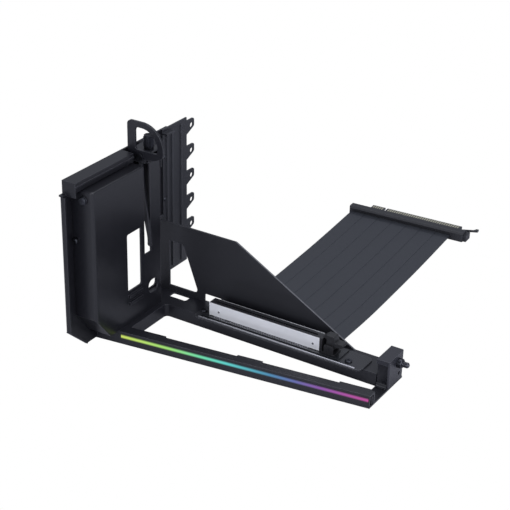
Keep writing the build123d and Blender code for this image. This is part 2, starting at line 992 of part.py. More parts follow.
def ribbon_band(n):
    """One flat band of the cable, swept along gentle turns from header to plug."""
    route = band_route(n)
    turns = len(route) - 2
    radii = []
    for a, b, c in zip(route, route[1:], route[2:]):
        first = math.dist(a, b)
        second = math.dist(b, c)
        angle = abs(math.atan2(c[1] - b[1], c[0] - b[0]) - math.atan2(b[1] - a[1], b[0] - a[0]))
        radii.append(min(0.45 * min(first, second) / math.tan(angle / 2), 2500.0))
    assert len(radii) == turns
    upper = [(s, z) for s, z in route]
    line = FilletPolyline(*[(0, s, z) for s, z in upper], radius=radii)
    w = band_middle(n)
    section = Plane(origin=line @ 0, z_dir=line % 0, x_dir=(1, 0, 0)) * Rectangle(band_width, band_thick)
    return cable_frame * Pos(w, 0, 0) * sweep(section, path=line)


# Edge connector: moulded housing, board with a key notch and a hook, and gilt fingers
def plug_housing():
    profile = outline(
        [
            (cable_run, 0.0),
            (cable_run + plug_length, 0.0),
            (cable_run + plug_length, plug_height - 1.4),
            (cable_run + plug_length - 2.2, plug_height),
            (cable_run + 1.6, plug_height),
            (cable_run, plug_height - 1.6),
        ],
        {3: 1.0, 4: 1.0},
    )
    body = extrude(Plane.YZ.offset(plug_left) * profile, plug_right - plug_left)
    ends = body.edges().filter_by(Axis.Z).group_by(Axis.X)
    body = fillet(ends[0] + ends[-1], 1.2)
    body += block(plug_right - 9, plug_right + 2.5, cable_run + 2.0, cable_run + plug_length + 1.5, 0, 5.4)
    low = plug_board_height
    body -= block(
        finger_left - 6, plug_right - 3, cable_run + 4, cable_run + plug_length + 3, low, low + plug_board_thick
    )
    return cable_frame * body


def plug_board():
    s0 = cable_run + 4
    s1 = cable_run + finger_reach
    shape = outline(
        [
            (finger_left - 6, s0),
            (plug_right - 3, s0),
            (plug_right - 3, cable_run + plug_length + 4.5),
            (hook_reach, cable_run + plug_length + 8.5),
            (hook_reach, s1 + 2.0),
            (hook_reach - 2, s1 + 2.0),
            (hook_reach - 3.4, cable_run + plug_length + 8.5),
            (finger_right + 1.6, cable_run + plug_length + 4.5),
            (finger_right, s1),
            (finger_left, s1),
            (finger_left, cable_run + plug_length + 3),
            (finger_left - 6, cable_run + plug_length + 3),
        ]
    )
    notch = finger_left + finger_key
    shape -= rectangle(notch, notch + finger_key_width, s1 - 8, s1 + 1)
    board = wall_z(shape, plug_board_height, plug_board_thick)
    return cable_frame * board


def finger_places():
    notch = finger_left + finger_key
    count = int((finger_right - finger_left - 3) / finger_pitch)
    places = [finger_left + 1.8 + n * finger_pitch for n in range(count + 1)]
    return [w for w in places if w < notch - 0.9 or w > notch + finger_key_width + 0.9]


def plug_fingers():
    high = plug_board_height + plug_board_thick
    s1 = cable_run + finger_reach - 0.8
    return [
        on_cable(w - 0.65, w + 0.65, s1 - finger_length, s1, high, high + 0.06) for w in finger_places()
    ]


# Light strip: carrier, board with lamps and the lens that shows in the rail's face
def light_carrier():
    left = light_start - carrier_start
    web = on_rail(left, light_end, carrier_front, carrier_front + carrier_wall, carrier_low, floor_low)
    low = on_rail(left, light_end, sheet, carrier_front, light_low - carrier_wall, light_low)
    high = on_rail(left, light_end, sheet, carrier_front, light_high, floor_low)
    stop = on_rail(left, light_start - fit_gap, sheet, carrier_front, light_low, light_high)
    return web + low + high + stop


def light_lens():
    return on_rail(light_start, light_end, -diffuser_proud, diffuser_depth, light_low, light_high)


led_face = carrier_front - led_board_thick


def light_board():
    return on_rail(light_start, light_end - sheet, led_face, carrier_front, light_low, light_high)


def light_lamps():
    step = (light_end - light_start - 2 * lamp_margin) / (led_count - 1)
    middle = (light_low + light_high) / 2
    half = led_size / 2
    made = []
    for n in range(led_count):
        u = light_start + lamp_margin + n * step
        front = led_face - led_thick + lamp_sunk
        made.append(on_rail(u - half, u + half, front, led_face, middle - half, middle + half))
    return made


# Bracket at the right end: a folded cap that stands on the low plate, open to the left,
# with a short lip in front and a captive screw in a ferrule
def end_bracket():
    outer = block(end_left, base_length, end_front, base_back, sheet, end_top)
    inner = block(
        end_left - 1, base_length - sheet, end_front + sheet, base_back - sheet, 0, end_top - sheet
    )
    corner = outer.edges().filter_by(Axis.Z).group_by(Axis.X)[-1]
    cap = fillet(corner, 1.0) - inner
    cap -= block(end_left - 1, base_length - sheet, end_front - 1, end_front + 2 * sheet, 0, end_lip_low)
    foot = block(
        base_length - sheet - end_foot, base_length - sheet, end_front + 3, base_back - sheet,
        sheet, 2 * sheet,
    )
    cap += foot
    cap -= rod_x(end_left, base_length + 1, end_screw_y, end_screw_z, ferrule_spigot)
    cap -= rod_x(base_length - 3, base_length + 1, end_screw_y + 2, 6.2, drain_radius)
    for y in end_rivet_ys:
        cap -= rod_z(0, 3 * sheet, end_rivet_x, y, rivet_shank_radius)
    return cap


end_rivet_ys = (87.5, 98.0)
end_rivet_x = base_length - sheet - end_foot / 2
ferrule_spigot = end_screw_radius + fit_gap + 0.4


def end_rivets():
    made = []
    for y in end_rivet_ys:
        low = 2 * sheet
        head = rod_z(low, low + rivet_head_height, end_rivet_x, y, rivet_head_radius)
        head = chamfer(head.faces().sort_by(Axis.Z)[-1].edges(), 0.4)
        made.append(head + rod_z(0, low, end_rivet_x, y, rivet_shank_radius))
    return made


def end_ferrule():
    wall = base_length
    body = rod_x(wall, wall + ferrule_length, end_screw_y, end_screw_z, ferrule_radius)
    body = chamfer(body.faces().sort_by(Axis.X)[-1].edges(), 0.6)
    body += rod_x(wall - sheet, wall, end_screw_y, end_screw_z, ferrule_spigot)
    return body - rod_x(
        wall - 2, wall + ferrule_length + 1, end_screw_y, end_screw_z, end_screw_radius + pin_clearance
    )


def end_screw():
    wall = base_length
    step = wall + ferrule_length + end_screw_step
    shank = rod_x(wall - sheet - 4, step, end_screw_y, end_screw_z, end_screw_radius)
    thread = rod_x(step, wall + end_screw_reach, end_screw_y, end_screw_z, end_thread_radius)
    thread = chamfer(thread.faces().sort_by(Axis.X)[-1].edges(), end_screw_point)
    head = rod_x(wall - sheet - 4.6, wall - sheet - 1.6, end_screw_y, end_screw_z, ferrule_radius + 0.4)
    slot = Pos(wall - sheet - 4.6, end_screw_y, end_screw_z) * Box(1.6, 9, 0.9)
    return shank + thread + head - slot


write("base_frame", base_frame())
write("support_wall", support_wall())
write("rear_panel", rear_panel())
write("slot_box", slot_box())
write("slot_plate", slot_plate())
write("plate_rivets", Compound(children=plate_rivets()))
write("side_screw", side_screw())
write("side_stud", side_stud())
write("latch_bracket", latch_bracket())
write("latch_pin", latch_pin())
write("latch_lever", latch_lever())
write("top_thumbscrew", top_thumbscrew())
write("riser_tray", riser_tray())
write("tray_screws", Compound(children=tray_screws()))
write("riser_board", riser_board())
write("socket_housing", socket_housing())
write("socket_contacts", Compound(children=socket_contacts()))
write("solder_tails", Compound(children=solder_tails()))
write("socket_shield", socket_shield())
write("catch_base", catch_base())
write("catch_pin", catch_pin())
write("socket_catch", socket_catch())
write("ribbon_header", ribbon_header())
for number in range(band_count):
    write(f"ribbon_band_{number + 1}", ribbon_band(number))
write("plug_housing", plug_housing())
write("plug_board", plug_board())
write("plug_fingers", Compound(children=plug_fingers()))
write("light_carrier", light_carrier())
write("light_lens", light_lens())
write("light_board", light_board())
write("light_lamps", Compound(children=light_lamps()))
write("end_bracket", end_bracket())
write("end_rivets", Compound(children=end_rivets()))
write("end_ferrule", end_ferrule())
write("end_screw", end_screw())
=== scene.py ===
# %% [markdown]
# # A vertical graphics card bracket
# This lesson dresses the bracket's solids with finishes, lays its flat riser cable, and
# lights it on a plain table. Everything is in metres: +X runs along the base away from the
# rear panel, +Y runs to the back and +Z is up.

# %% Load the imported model
import math

import bmesh
import bpy
from mathutils import Matrix, Vector


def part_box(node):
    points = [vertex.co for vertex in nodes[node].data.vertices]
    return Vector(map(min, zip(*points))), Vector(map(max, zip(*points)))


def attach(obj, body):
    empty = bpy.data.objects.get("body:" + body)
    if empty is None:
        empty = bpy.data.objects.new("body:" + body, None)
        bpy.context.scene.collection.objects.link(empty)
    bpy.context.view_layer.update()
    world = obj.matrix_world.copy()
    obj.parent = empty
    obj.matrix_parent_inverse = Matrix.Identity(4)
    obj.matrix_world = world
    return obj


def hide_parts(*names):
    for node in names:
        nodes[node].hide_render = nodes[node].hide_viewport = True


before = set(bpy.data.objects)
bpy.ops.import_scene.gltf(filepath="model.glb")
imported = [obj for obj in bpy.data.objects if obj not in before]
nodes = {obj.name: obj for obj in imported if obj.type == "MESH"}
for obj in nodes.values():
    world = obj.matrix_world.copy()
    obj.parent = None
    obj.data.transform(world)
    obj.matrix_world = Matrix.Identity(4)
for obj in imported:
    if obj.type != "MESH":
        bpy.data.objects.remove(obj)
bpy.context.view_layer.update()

# %% [markdown]
# ## Camera
# The photograph was taken from the front right and a little above. Its vanishing lines give
# a long lens, so the picture has little perspective. The camera's three directions are
# written out and become the columns of its matrix, which is shorter than stacking angles.

# %% Camera
RIGHT = Vector((0.8453, 0.5339, 0.0200))
DOWN = Vector((0.2563, -0.3724, -0.8920))
EYE = Vector((0.554214, -0.651652, 0.509005))
FILM = 36.0
FOCAL_PIXELS = 1388.7
PHOTO_SIDE = 510
NEAR = 0.05
FAR = 20

right = RIGHT.normalized()
up = -(DOWN - right * DOWN.dot(right)).normalized()
back = right.cross(up)
lens = bpy.data.cameras.new("studio_lens")
lens.sensor_fit = "HORIZONTAL"
lens.sensor_width = FILM
lens.lens = FOCAL_PIXELS * FILM / PHOTO_SIDE
lens.clip_start = NEAR
lens.clip_end = FAR
camera = bpy.data.objects.new("studio_camera", lens)
camera.matrix_world = Matrix.Translation(EYE) @ Matrix((right, up, back)).transposed().to_4x4()
bpy.context.scene.collection.objects.link(camera)
bpy.context.scene.camera = camera
print("lens", round(lens.lens, 1), "mm")

# %% [markdown]
# ## Shader maths
# A finish is a few textures joined by arithmetic. Written as expressions they read like
# arithmetic: one small class wraps a socket, and plus, minus, times and divide each add a
# Math node.

# %% A wrapped socket and a material under construction
BEVEL_SAMPLES = 6
EDGE_GAIN = 3.0


class Wire:
    """One output socket, with arithmetic that adds Math nodes."""

    def __init__(self, finish, socket):
        self.finish = finish
        self.socket = socket

    def _math(self, operation, first, second):
        return self.finish.node("ShaderNodeMath", {"operation": operation}, {0: first, 1: second})

    def __add__(self, other):
        return self._math("ADD", self, other)

    def __mul__(self, other):
        return self._math("MULTIPLY", self, other)

    def __sub__(self, other):
        return self._math("SUBTRACT", self, other)

    def __rsub__(self, other):
        return self._math("SUBTRACT", other, self)

    def __truediv__(self, other):
        return self._math("DIVIDE", self, other)

    def __pow__(self, other):
        return self._math("POWER", self, other)

    def above(self, other):
        return self._math("GREATER_THAN", self, other)


class Finish:
    """A material, its Principled shader and the nodes that feed it."""

    def __init__(self, name):
        self.material = bpy.data.materials.new(name)
        self.material.use_nodes = True
        self.tree = self.material.node_tree
        self.tree.nodes.clear()
        self.output = self.tree.nodes.new("ShaderNodeOutputMaterial")
        self.shader = self.tree.nodes.new("ShaderNodeBsdfPrincipled")
        self.tree.links.new(self.shader.outputs[0], self.output.inputs["Surface"])

    def put(self, socket, value):
        """Links a wire to a socket, or sets the socket's own value."""
        if isinstance(value, Wire):
            self.tree.links.new(value.socket, socket)
        elif hasattr(value, "__len__") and len(value) == 3 and len(socket.default_value) == 4:
            socket.default_value = (*value, 1.0)
        else:
            socket.default_value = value

    def node(self, kind, settings=None, inputs=None, output=0):
        """Adds a node and returns one of its outputs as a wire."""
        made = self.tree.nodes.new(kind)
        for key, value in (settings or {}).items():
            if key == "stops":
                self._stops(made.color_ramp, value)
            else:
                setattr(made, key, value)
        for key, value in (inputs or {}).items():
            self.put(made.inputs[key], value)
        return Wire(self, made.outputs[output])

    @staticmethod
    def _stops(ramp, stops):
        while len(ramp.elements) < len(stops):
            ramp.elements.new(1.0)
        for element, (place, colour) in zip(ramp.elements, stops):
            element.position = place
            element.color = (*colour, 1.0)

    def shade(self, **values):
        for name, value in values.items():
            self.put(self.shader.inputs[name.replace("_", " ")], value)
        return self

    def place(self):
        """Object coordinates: the same metres as the solids."""
        return self.node("ShaderNodeTexCoord", output="Object")

    def noise(self, place, scale, detail=2.0, rough=0.5):
        return self.node(
            "ShaderNodeTexNoise",
            {},
            {"Vector": place, "Scale": scale, "Detail": detail, "Roughness": rough},
        )

    def between(self, amount, low, high):
        """Low where amount is 0 and high where it is 1, for numbers."""
        return amount * (high - low) + low

    def blend(self, amount, first, second):
        """The same for colours, through a Mix node."""
        return self.node(
            "ShaderNodeMix",
            {"data_type": "RGBA", "clamp_factor": True},
            {0: amount, 6: first, 7: second},
            output=2,
        )

    def soft_edges(self, radius):
        """A normal that turns smoothly over each edge, as rounded sheet metal does."""
        return self.node("ShaderNodeBevel", {"samples": BEVEL_SAMPLES}, {"Radius": radius}, output="Normal")

    def edge_mask(self, rounded):
        """Near 0 on flats and rising at edges, from how far the rounded normal turns."""
        flat = self.node("ShaderNodeNewGeometry", output="Normal")
        same = self.node("ShaderNodeVectorMath", {"operation": "DOT_PRODUCT"}, {0: rounded, 1: flat}, 1)
        return (1 - same) * EDGE_GAIN

    def bump(self, height, distance, normal=None):
        """A normal from a height, laid over another normal where one is given."""
        inputs = {"Height": height, "Distance": distance, "Strength": 1.0}
        if normal is not None:
            inputs["Normal"] = normal
        return self.node("ShaderNodeBump", {}, inputs)


def wear(piece, finish):
    """Gives a piece one finish."""
    piece.data.materials.clear()
    piece.data.materials.append(finish.material)
    return piece


def shade_of(colour, share):
    """A colour made darker or lighter by one share."""
    return [c * share for c in colour]


# %% [markdown]
# ## Powder-coated steel
# The sheets are near black with a fine orange peel. The real coat is a polyester powder
# that flows a little before it sets, so its bumps are about half a millimetre wide. Noise
# drives a very small bump, and a slower noise varies the gloss. The coat thins over edges,
# which look a touch lighter, so a rounded normal gives both the highlight and a mask.

# %% Powder coat
PEEL_SCALE = 1500
PEEL_HEIGHT = 0.000018
PEEL_GLOSS = 0.08
COAT_CLOUD_SCALE = 18
EDGE_RADIUS = 0.00045
HIGHLIGHT_STEEL = (0.34, 0.34, 0.36)
LIP_DEPTH = 0.0014
LIP_RISE = 0.00042
HIGHLIGHT_METALLIC = 0.8
# How much bright steel is painted on the wall's up-facing slopes, a painted highlight.
SLOPE_HIGHLIGHT_SHARE = 0.32
SLOPE_FACING = 0.2


def powder(name, colour, edge, rough, specular=0.5, painted_highlight=None):
    """Powder coat, with an optional mask maker, from a finish and a place, for bright steel painted as a
    highlight.
    """
    finish = Finish(name)
    place = finish.place()
    peel_noise = finish.noise(place, PEEL_SCALE, 3.0)
    cloud = finish.noise(place, COAT_CLOUD_SCALE, 3.0)
    rounded = finish.soft_edges(EDGE_RADIUS)
    worn = finish.edge_mask(rounded)
    tone = finish.blend(cloud, shade_of(colour, 0.86), shade_of(colour, 1.14))
    coat = finish.blend(worn, tone, edge)
    finish.shade(
        Base_Color=coat,
        Roughness=finish.between(cloud, rough - 0.05, rough + 0.06) + (peel_noise - 0.5) * PEEL_GLOSS,
        Normal=finish.bump(peel_noise, PEEL_HEIGHT, rounded),
        Specular_IOR_Level=specular,
    )
    # Bright steel where the mask is 1: a painted highlight.
    if painted_highlight:
        mask = painted_highlight(finish, place)
        finish.shade(Base_Color=finish.blend(mask, coat, HIGHLIGHT_STEEL), Metallic=mask * HIGHLIGHT_METALLIC)
    return finish


def lip_highlight_mask(finish, place):
    """1 on the upper part of the tray's front lip, a painted highlight of bright steel where the lamp's
    reflection falls.
    """
    tray_low, tray_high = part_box("riser_tray")
    y_place = finish.node("ShaderNodeSeparateXYZ", {}, {0: place}, output="Y")
    z_place = finish.node("ShaderNodeSeparateXYZ", {}, {0: place}, output="Z")
    in_front = (tray_low.y + LIP_DEPTH - y_place).above(0.0)
    return in_front * (z_place - (tray_high.z - LIP_RISE)).above(0.0)


def slope_highlight_mask(finish, place):
    """The bright steel share on the wall's faces that slope up towards +X, a painted highlight, and 0
    elsewhere.
    """
    facing = finish.node("ShaderNodeNewGeometry", output="Normal")
    x_facing = finish.node("ShaderNodeSeparateXYZ", {}, {0: facing}, output="X")
    z_facing = finish.node("ShaderNodeSeparateXYZ", {}, {0: facing}, output="Z")
    return (x_facing * z_facing).above(SLOPE_FACING) * SLOPE_HIGHLIGHT_SHARE


# The plate, tray and end bracket take lighter copies of the coat, painted light; the panel and latch
# bracket take a darker copy, painted shade.
steel_black = powder("powder_black", (0.0106, 0.0108, 0.0142), (0.065, 0.066, 0.078), 0.33)
panel_painted_shade = powder("panel_painted_shade", (0.0082, 0.0083, 0.0110), (0.080, 0.081, 0.095), 0.35, specular=0.42)
box_black = powder("box_black", (0.0088, 0.0090, 0.0118), (0.075, 0.076, 0.090), 0.31)
# The wall's faces that slope up towards +X get bright steel, a painted highlight.
wall_black = powder("wall_black", (0.0115, 0.0117, 0.0150), (0.110, 0.112, 0.130), 0.46, painted_highlight=slope_highlight_mask)
plate_painted_light = powder("plate_painted_light", (0.0165, 0.0172, 0.0215), (0.110, 0.113, 0.130), 0.42)
# The tray's lip top gets bright steel, a painted highlight.
tray_painted_light = powder("tray_painted_light", (0.0260, 0.0265, 0.0300), (0.130, 0.132, 0.145), 0.27, painted_highlight=lip_highlight_mask)
end_painted_light = powder("end_painted_light", (0.0200, 0.0203, 0.0268), (0.100, 0.102, 0.120), 0.40)
print("powder coat peel", 1000 / PEEL_SCALE, "mm")

# %% [markdown]
# ## Black zinc, plastics and the socket's metals
# Screws and rivets are zinc plated and blackened: metallic, dark and uneven. Mouldings are
# plain black plastic with a spark-eroded grain. The shield is bright rolled steel with fine
# lines along it, which a stretched noise gives.

# %% Fastener finish
ZINC_CLOUD_SCALE = 240
ZINC_EDGE = 0.00025
ZINC_HEIGHT = 0.00001


def plated(name, colour, rough):
    """Metal with an uneven thin plating."""
    finish = Finish(name)
    place = finish.place()
    cloud = finish.noise(place, ZINC_CLOUD_SCALE, 4.0)
    rounded = finish.soft_edges(ZINC_EDGE)
    finish.shade(
        Base_Color=finish.blend(cloud, shade_of(colour, 0.7), shade_of(colour, 1.35)),
        Metallic=1.0,
        Roughness=finish.between(cloud, rough - 0.06, rough + 0.1),
        Normal=finish.bump(cloud, ZINC_HEIGHT, rounded),
    )
    return finish


black_zinc = plated("black_zinc", (0.055, 0.057, 0.066), 0.36)
knob_black = plated("knob_zinc", (0.030, 0.031, 0.037), 0.40)
screw_steel = plated("screw_steel", (0.075, 0.077, 0.088), 0.34)
tinned = plated("tinned_tails", (0.27, 0.27, 0.29), 0.42)
gilt = plated("gilt_contacts", (0.66, 0.63, 0.48), 0.34)


# %% Moulded plastic
SPARK_SCALE = 3200
SPARK_HEIGHT = 0.00001
MOULD_CLOUD_SCALE = 40
MOULD_EDGE = 0.0003


def moulded(name, colour, rough):
    """Plain plastic with a spark-eroded grain."""
    finish = Finish(name)
    place = finish.place()
    spark = finish.noise(place, SPARK_SCALE, 2.0)
    cloud = finish.noise(place, MOULD_CLOUD_SCALE, 2.0)
    rounded = finish.soft_edges(MOULD_EDGE)
    finish.shade(
        Base_Color=finish.blend(cloud, shade_of(colour, 0.85), shade_of(colour, 1.15)),
        Roughness=finish.between(spark, rough - 0.05, rough + 0.08),
        Normal=finish.bump(spark, SPARK_HEIGHT, rounded),
    )
    return finish


housing_black = moulded("housing_plastic", (0.0085, 0.0085, 0.0100), 0.42)
socket_black = moulded("socket_plastic", (0.0120, 0.0120, 0.0140), 0.38)
plug_black = moulded("plug_plastic", (0.0150, 0.0153, 0.0185), 0.46)
carrier_black = moulded("carrier_plastic", (0.0070, 0.0070, 0.0080), 0.5)

# %% Rolled steel shield
DOT_DEPTH = 0.0001
LINE_STRETCH = (40, 900, 2600)
LINE_HEIGHT = 0.000006
SMUDGE_SCALE = 75
FINE_EDGE = 0.0002

shield_bright = Finish("rolled_shield")
place = shield_bright.place()
along = shield_bright.node("ShaderNodeMapping", {}, {"Vector": place, "Scale": LINE_STRETCH})
lines = shield_bright.noise(along, 1.0, 4.0, 0.6)
smudge = shield_bright.noise(place, SMUDGE_SCALE, 3.0)
rounded = shield_bright.soft_edges(FINE_EDGE)
y_place = shield_bright.node("ShaderNodeSeparateXYZ", {}, {0: place}, output="Y")
shield_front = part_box("socket_shield")[0].y
spot = (shield_front + DOT_DEPTH - y_place).above(0.0)
rolled = shield_bright.blend(smudge, (0.88, 0.88, 0.89), (0.98, 0.98, 0.98))
shield_bright.shade(
    Base_Color=shield_bright.blend(spot, rolled, (0.10, 0.10, 0.11)),
    Metallic=0.45,
    Roughness=shield_bright.between(smudge, 0.30, 0.44) + (lines - 0.5) * 0.12,
    Normal=shield_bright.bump(lines, LINE_HEIGHT, rounded),
)
print("shield finish made")

# %% [markdown]
# ## Circuit board
# A black solder mask is glossy, and the copper under it stands out by a few hundredths of a
# millimetre. A brick pattern turned into thin lines stands for the tracks.

# %% Solder mask
TRACK_WIDTH = 0.00018
TRACK_PITCH = 0.0011
TRACK_LENGTH = 0.0085
TRACK_HEIGHT = 0.00002
SPECK_SCALE = 700

mask_black = Finish("solder_mask")
place = mask_black.place()
tracks = mask_black.node(
    "ShaderNodeTexBrick",
    {"offset": 0.37, "squash": 1.0},
    {
        "Vector": place,
        "Scale": 1.0,
        "Mortar Size": TRACK_WIDTH,
        "Mortar Smooth": 0.2,
        "Brick Width": TRACK_LENGTH,
        "Row Height": TRACK_PITCH,
    },
    output="Fac",
)
speck = mask_black.noise(place, SPECK_SCALE, 2.0)
rounded = mask_black.soft_edges(FINE_EDGE)
mask_black.shade(
    Base_Color=mask_black.blend(tracks, (0.0065, 0.0070, 0.0085), (0.013, 0.015, 0.018)),
    Roughness=mask_black.between(speck, 0.22, 0.36),
    Normal=mask_black.bump(tracks, TRACK_HEIGHT, rounded),
    Coat_Weight=0.3,
)
print("solder mask finish made")

# %% [markdown]
# ## Light strip
# The strip shines through a long diffuser, with colours that run from lime through green,
# blue and violet to magenta. They are chosen as screen colours and turned into linear light,
# because a shader works in linear light. The diffuser is brightest along its middle, so the
# height above that middle dims the colour towards both edges.

# %% Lens
LIME = (208, 228, 92)
GREEN = (160, 230, 108)
MINT = (106, 226, 166)
TEAL = (84, 212, 204)
BLUE = (60, 134, 178)
INDIGO = (92, 98, 170)
VIOLET = (142, 68, 166)
MAGENTA = (192, 60, 152)
STRIP_COLOURS = (
    (0.00, LIME),
    (0.20, GREEN),
    (0.33, MINT),
    (0.44, TEAL),
    (0.62, BLUE),
    (0.72, INDIGO),
    (0.83, VIOLET),
    (1.00, MAGENTA),
)
EDGE_DIMMING = 0.82
CORE_POWER = 1.6
GLOW = 0.95
LAMP_CLOUD_SCALE = 900


def linear(screen):
    """A screen colour from 0 to 255 as linear light."""
    return [((c / 255 + 0.055) / 1.055) ** 2.4 for c in screen]


lens_low, lens_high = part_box("light_lens")
strip_length = lens_high.x - lens_low.x
lens_middle = (lens_low.z + lens_high.z) / 2
lens_glow = Finish("light_strip_lens")
place = lens_glow.place()
x_place = lens_glow.node("ShaderNodeSeparateXYZ", {}, {0: place}, output="X")
z_place = lens_glow.node("ShaderNodeSeparateXYZ", {}, {0: place}, output="Z")
share = (x_place - lens_low.x) / strip_length
stops = [(where, linear(colour)) for where, colour in STRIP_COLOURS]
rainbow = lens_glow.node("ShaderNodeValToRGB", {"stops": stops}, {"Fac": share})
off_middle = (z_place - lens_middle) / (lens_high.z - lens_middle)
core = (1 - off_middle * off_middle) ** CORE_POWER
dim = lens_glow.blend(EDGE_DIMMING, rainbow, (0, 0, 0))
lens_glow.shade(
    Base_Color=(0.02, 0.02, 0.02),
    Roughness=0.35,
    Emission_Color=lens_glow.blend(core, dim, rainbow),
    Emission_Strength=GLOW,
    Normal=lens_glow.soft_edges(FINE_EDGE),
)
lamp_glow = Finish("lamp_resin")
lamp_cloud = lamp_glow.noise(lamp_glow.place(), LAMP_CLOUD_SCALE)
lamp_glow.shade(
    Base_Color=lamp_glow.blend(lamp_cloud, (0.70, 0.72, 0.60), (0.90, 0.90, 0.80)),
    Roughness=0.25,
)
print("strip", round(strip_length * 1000, 1), "mm long")

# %% [markdown]
# ## Dressing the solids
# The sheets, mouldings and fasteners keep their own solids. Each takes the finish of its
# material, so one table says it all. The plate, tray and end bracket take a lighter copy of
# the coat, painted light, and the panel and latch bracket a darker copy, painted shade.

# %% Finishes of the solids
FINISH_OF = {
    "base_frame": steel_black,
    "rear_panel": panel_painted_shade,
    "slot_box": box_black,
    "slot_plate": plate_painted_light,
    "support_wall": wall_black,
    "latch_bracket": panel_painted_shade,
    "latch_lever": steel_black,
    "riser_tray": tray_painted_light,
    "end_bracket": end_painted_light,
    "plate_rivets": black_zinc,
    "side_screw": black_zinc,
    "side_stud": black_zinc,
    "latch_pin": black_zinc,
    "top_thumbscrew": knob_black,
    "tray_screws": black_zinc,
    "catch_pin": black_zinc,
    "end_rivets": black_zinc,
    "end_ferrule": black_zinc,
    "end_screw": screw_steel,
    "riser_board": mask_black,
    "plug_board": mask_black,
    "light_board": mask_black,
    "socket_housing": socket_black,
    "catch_base": housing_black,
    "socket_catch": housing_black,
    "ribbon_header": housing_black,
    "plug_housing": plug_black,
    "light_carrier": carrier_black,
    "socket_shield": shield_bright,
    "solder_tails": tinned,
    "socket_contacts": gilt,
    "plug_fingers": gilt,
    "light_lens": lens_glow,
    "light_lamps": lamp_glow,
}
for name, finish in FINISH_OF.items():
    wear(nodes[name], finish)
print(len(FINISH_OF), "solids dressed")

# %% [markdown]
# ## Two makers of meshes
# Every added piece starts as a bmesh. The thread and the cable's bands are both a row of
# rings, so they share one maker.

# %% A mesh from a bmesh
def finished(name, shape, smooth=False):
    """Turns a bmesh into a linked object, with its normals made consistent."""
    bmesh.ops.recalc_face_normals(shape, faces=shape.faces)
    mesh = bpy.data.meshes.new(name)
    shape.to_mesh(mesh)
    shape.free()
    if smooth:
        mesh.shade_smooth()
    piece = bpy.data.objects.new(name, mesh)
    bpy.context.scene.collection.objects.link(piece)
    return piece


def swept(name, sections, smooth=False):
    """A closed shape through rings of points, bridged in turn and capped at both ends."""
    shape = bmesh.new()
    rings = []
    for section in sections:
        ring = [shape.verts.new(at) for at in section]
        rings.append([shape.edges.new((ring[i - 1], ring[i])) for i in range(len(ring))])
    for first, second in zip(rings, rings[1:]):
        bmesh.ops.bridge_loops(shape, edges=first + second)
    for end in (rings[0], rings[-1]):
        bmesh.ops.contextual_create(shape, geom=end)
    return finished(name, shape, smooth)


# %% [markdown]
# ## Thread of the captive screw
# The screw's free end is a plain rod in the solids. Its thread is one ridge wound round it: a
# triangle of vertices per step, turned and moved on by its share of the pitch.

# %% Thread
THREAD_PITCH = 0.0007
THREAD_STEPS = 24
THREAD_HEIGHT = 0.00022
SCREW_POINT = 0.0009
SCREW_ROOT = 0.0019
RUN_IN = 0.0006
# Each point is in pitches along the axis, then in thread heights out from the root.
THREAD_PROFILE = ((-0.30, -0.05), (0.0, 1.0), (0.30, -0.05))

screw_low, screw_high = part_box("end_screw")
ferrule_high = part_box("end_ferrule")[1]
screw_axis = (screw_low + screw_high) / 2


def wound_thread(name, start, stop):
    """A helical ridge round the screw's axis, from one x to another."""
    turns = (stop - start) / THREAD_PITCH
    sections = []
    for n in range(int(turns * THREAD_STEPS) + 1):
        angle = 2 * math.pi * n / THREAD_STEPS
        x = start + THREAD_PITCH * n / THREAD_STEPS
        section = []
        for along, out in THREAD_PROFILE:
            radius = SCREW_ROOT + THREAD_HEIGHT * out
            section.append(
                (
                    x + along * THREAD_PITCH,
                    screw_axis.y + radius * math.cos(angle),
                    screw_axis.z + radius * math.sin(angle),
                )
            )
        sections.append(section)
    return swept(name, sections)


thread_start = ferrule_high.x + RUN_IN
thread_stop = screw_high.x - SCREW_POINT
thread = wound_thread("captive_thread", thread_start, thread_stop)
wear(thread, black_zinc)
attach(thread, "captive_screw")
print("thread vertices", len(thread.data.vertices))

# %% [markdown]
# ## Solder points, the curved sheet and the rail's cap
# Two rows of joints show in front of the socket: the tails, which are solids, and a row of
# solder points in the board, each a flattened ball. At the right end a thin sheet bends up
# from the low plate to close the bracket's open front, and a small cap fills the end of the
# rail.

# %% Solder points
POINT_RADIUS = 0.00046
POINT_PITCH = 0.0020
POINT_INSET = 0.0009
POINT_START = 0.7
POINT_FLATNESS = 0.6
POINT_SIDES = 10
POINT_RINGS = 6

board_low, board_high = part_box("riser_board")
tails_low, tails_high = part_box("solder_tails")
shape = bmesh.new()
for n in range(int((tails_high.x - tails_low.x) / POINT_PITCH)):
    x = tails_low.x + (n + POINT_START) * POINT_PITCH
    at = Vector((x, board_low.y + POINT_INSET, board_high.z))
    flat = Matrix.Translation(at) @ Matrix.Diagonal((1.0, 1.0, POINT_FLATNESS, 1.0))
    bmesh.ops.create_uvsphere(
        shape, u_segments=POINT_SIDES, v_segments=POINT_RINGS, radius=POINT_RADIUS, matrix=flat
    )
points = wear(finished("solder_points", shape, True), tinned)
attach(points, "frame")

# %% Curved sheet
SHEET = 0.0006
CURVE_RADIUS = 0.0030
CURVE_STEPS = 8
CURVE_LAP = 0.0010
LIP_HEIGHT = 0.0034

